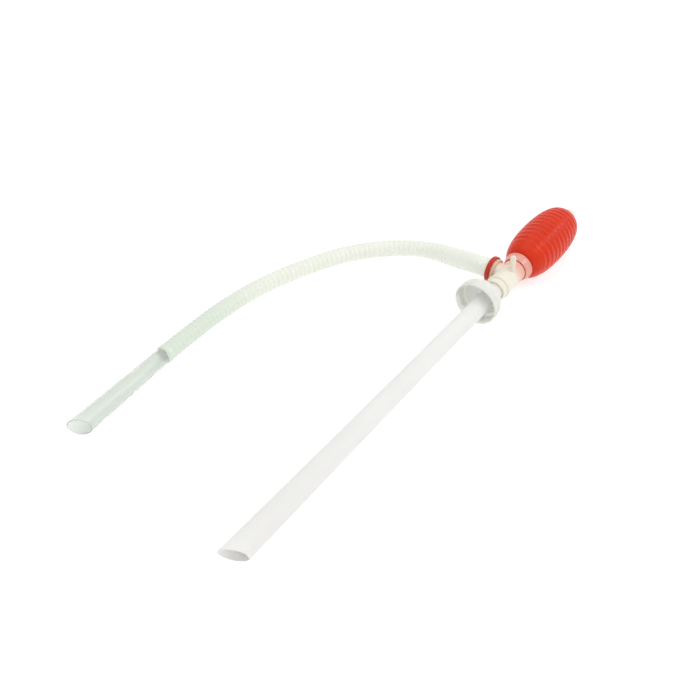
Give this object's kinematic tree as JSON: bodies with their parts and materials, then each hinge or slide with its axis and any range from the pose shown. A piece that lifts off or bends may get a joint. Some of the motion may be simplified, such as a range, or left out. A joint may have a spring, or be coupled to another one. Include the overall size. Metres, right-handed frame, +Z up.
{
  "type": "hand siphon pump",
  "caption": "Hand siphon pump: ribbed squeeze bulb, T-shaped head with two check valves, straight suction tube with a loose container cap, and a corrugated discharge hose.",
  "frame": {"origin": "on the table, under the middle of the pump's bounding box, the hose left out", "axes": "+X along the pump from the suction tube's mouth towards the bulb; +Y towards the discharge hose; +Z up from the table"},
  "size_m": [0.5672, 0.2457, 0.0519],
  "materials": {
    "frosted_tube": "satin, translucent",
    "natural_plastic": "satin, milky",
    "clear_collar": "smooth, translucent",
    "hose_clear": "smooth, translucent, corrugated",
    "bulb_red": "soft, satin gloss",
    "ring_red": "gloss",
    "seal": "matt",
    "liner": "matt, foamed"
  },
  "bodies": {
    "pump": {"suction_tube": "frosted_tube", "tube_seal": "seal", "pump_head": "natural_plastic", "inlet_seat": "natural_plastic", "inlet_cage": "natural_plastic", "outlet_seat": "natural_plastic", "outlet_cage": "natural_plastic", "outlet_housing": "clear_collar", "outlet_seal": "seal", "hose_ring": "ring_red", "discharge_hose": "hose_clear", "bulb_collar": "clear_collar", "squeeze_bulb": "bulb_red"},
    "vent_fitting": {"vent_seat": "natural_plastic"},
    "vent_washer": {"vent_washer": "seal"},
    "vent_cap": {"vent_cap": "natural_plastic"},
    "cap_slider": {"cap_gasket": "liner"},
    "container_cap": {"container_cap": "natural_plastic"},
    "inlet_disc": {"inlet_disc": "seal"},
    "outlet_disc": {"outlet_disc": "seal"}
  },
  "joints": [
    {"name": "bulb_squeeze", "type": "slide", "parent": "pump", "child": "vent_fitting", "axis": [-0.9996, 0, -0.0289], "range_m": [0, 0.014], "stiffness_N_per_m": 300, "deforming": ["squeeze_bulb"]},
    {"name": "vent_lift", "type": "slide", "parent": "vent_fitting", "child": "vent_washer", "axis": [0.9996, 0, 0.0289], "range_m": [0, 0.004]},
    {"name": "vent_turn", "type": "hinge", "parent": "vent_washer", "child": "vent_cap", "pos_m": [0.27833, -0.00925, 0.02726], "axis": [0.9996, 0, 0.0289], "range_deg": [0, 720]},
    {"name": "cap_slide", "type": "slide", "parent": "pump", "child": "cap_slider", "axis": [0.9996, 0, 0.0289], "range_m": [-0.12, 0.011]},
    {"name": "cap_turn", "type": "hinge", "parent": "cap_slider", "child": "container_cap", "pos_m": [0.09637, -0.00525, 0.02325], "axis": [0.9996, 0, 0.0289], "continuous": true},
    {"name": "inlet_lift", "type": "slide", "parent": "pump", "child": "inlet_disc", "axis": [0.9996, 0, 0.0289], "range_m": [0, 0.0021]},
    {"name": "outlet_lift", "type": "slide", "parent": "pump", "child": "outlet_disc", "axis": [0, 1, 0], "range_m": [0, 0.0021]}
  ],
  "couplings": [
    {"joint": "vent_lift", "follows": "vent_turn", "m_per_rad": 0.00031831}
  ]
}
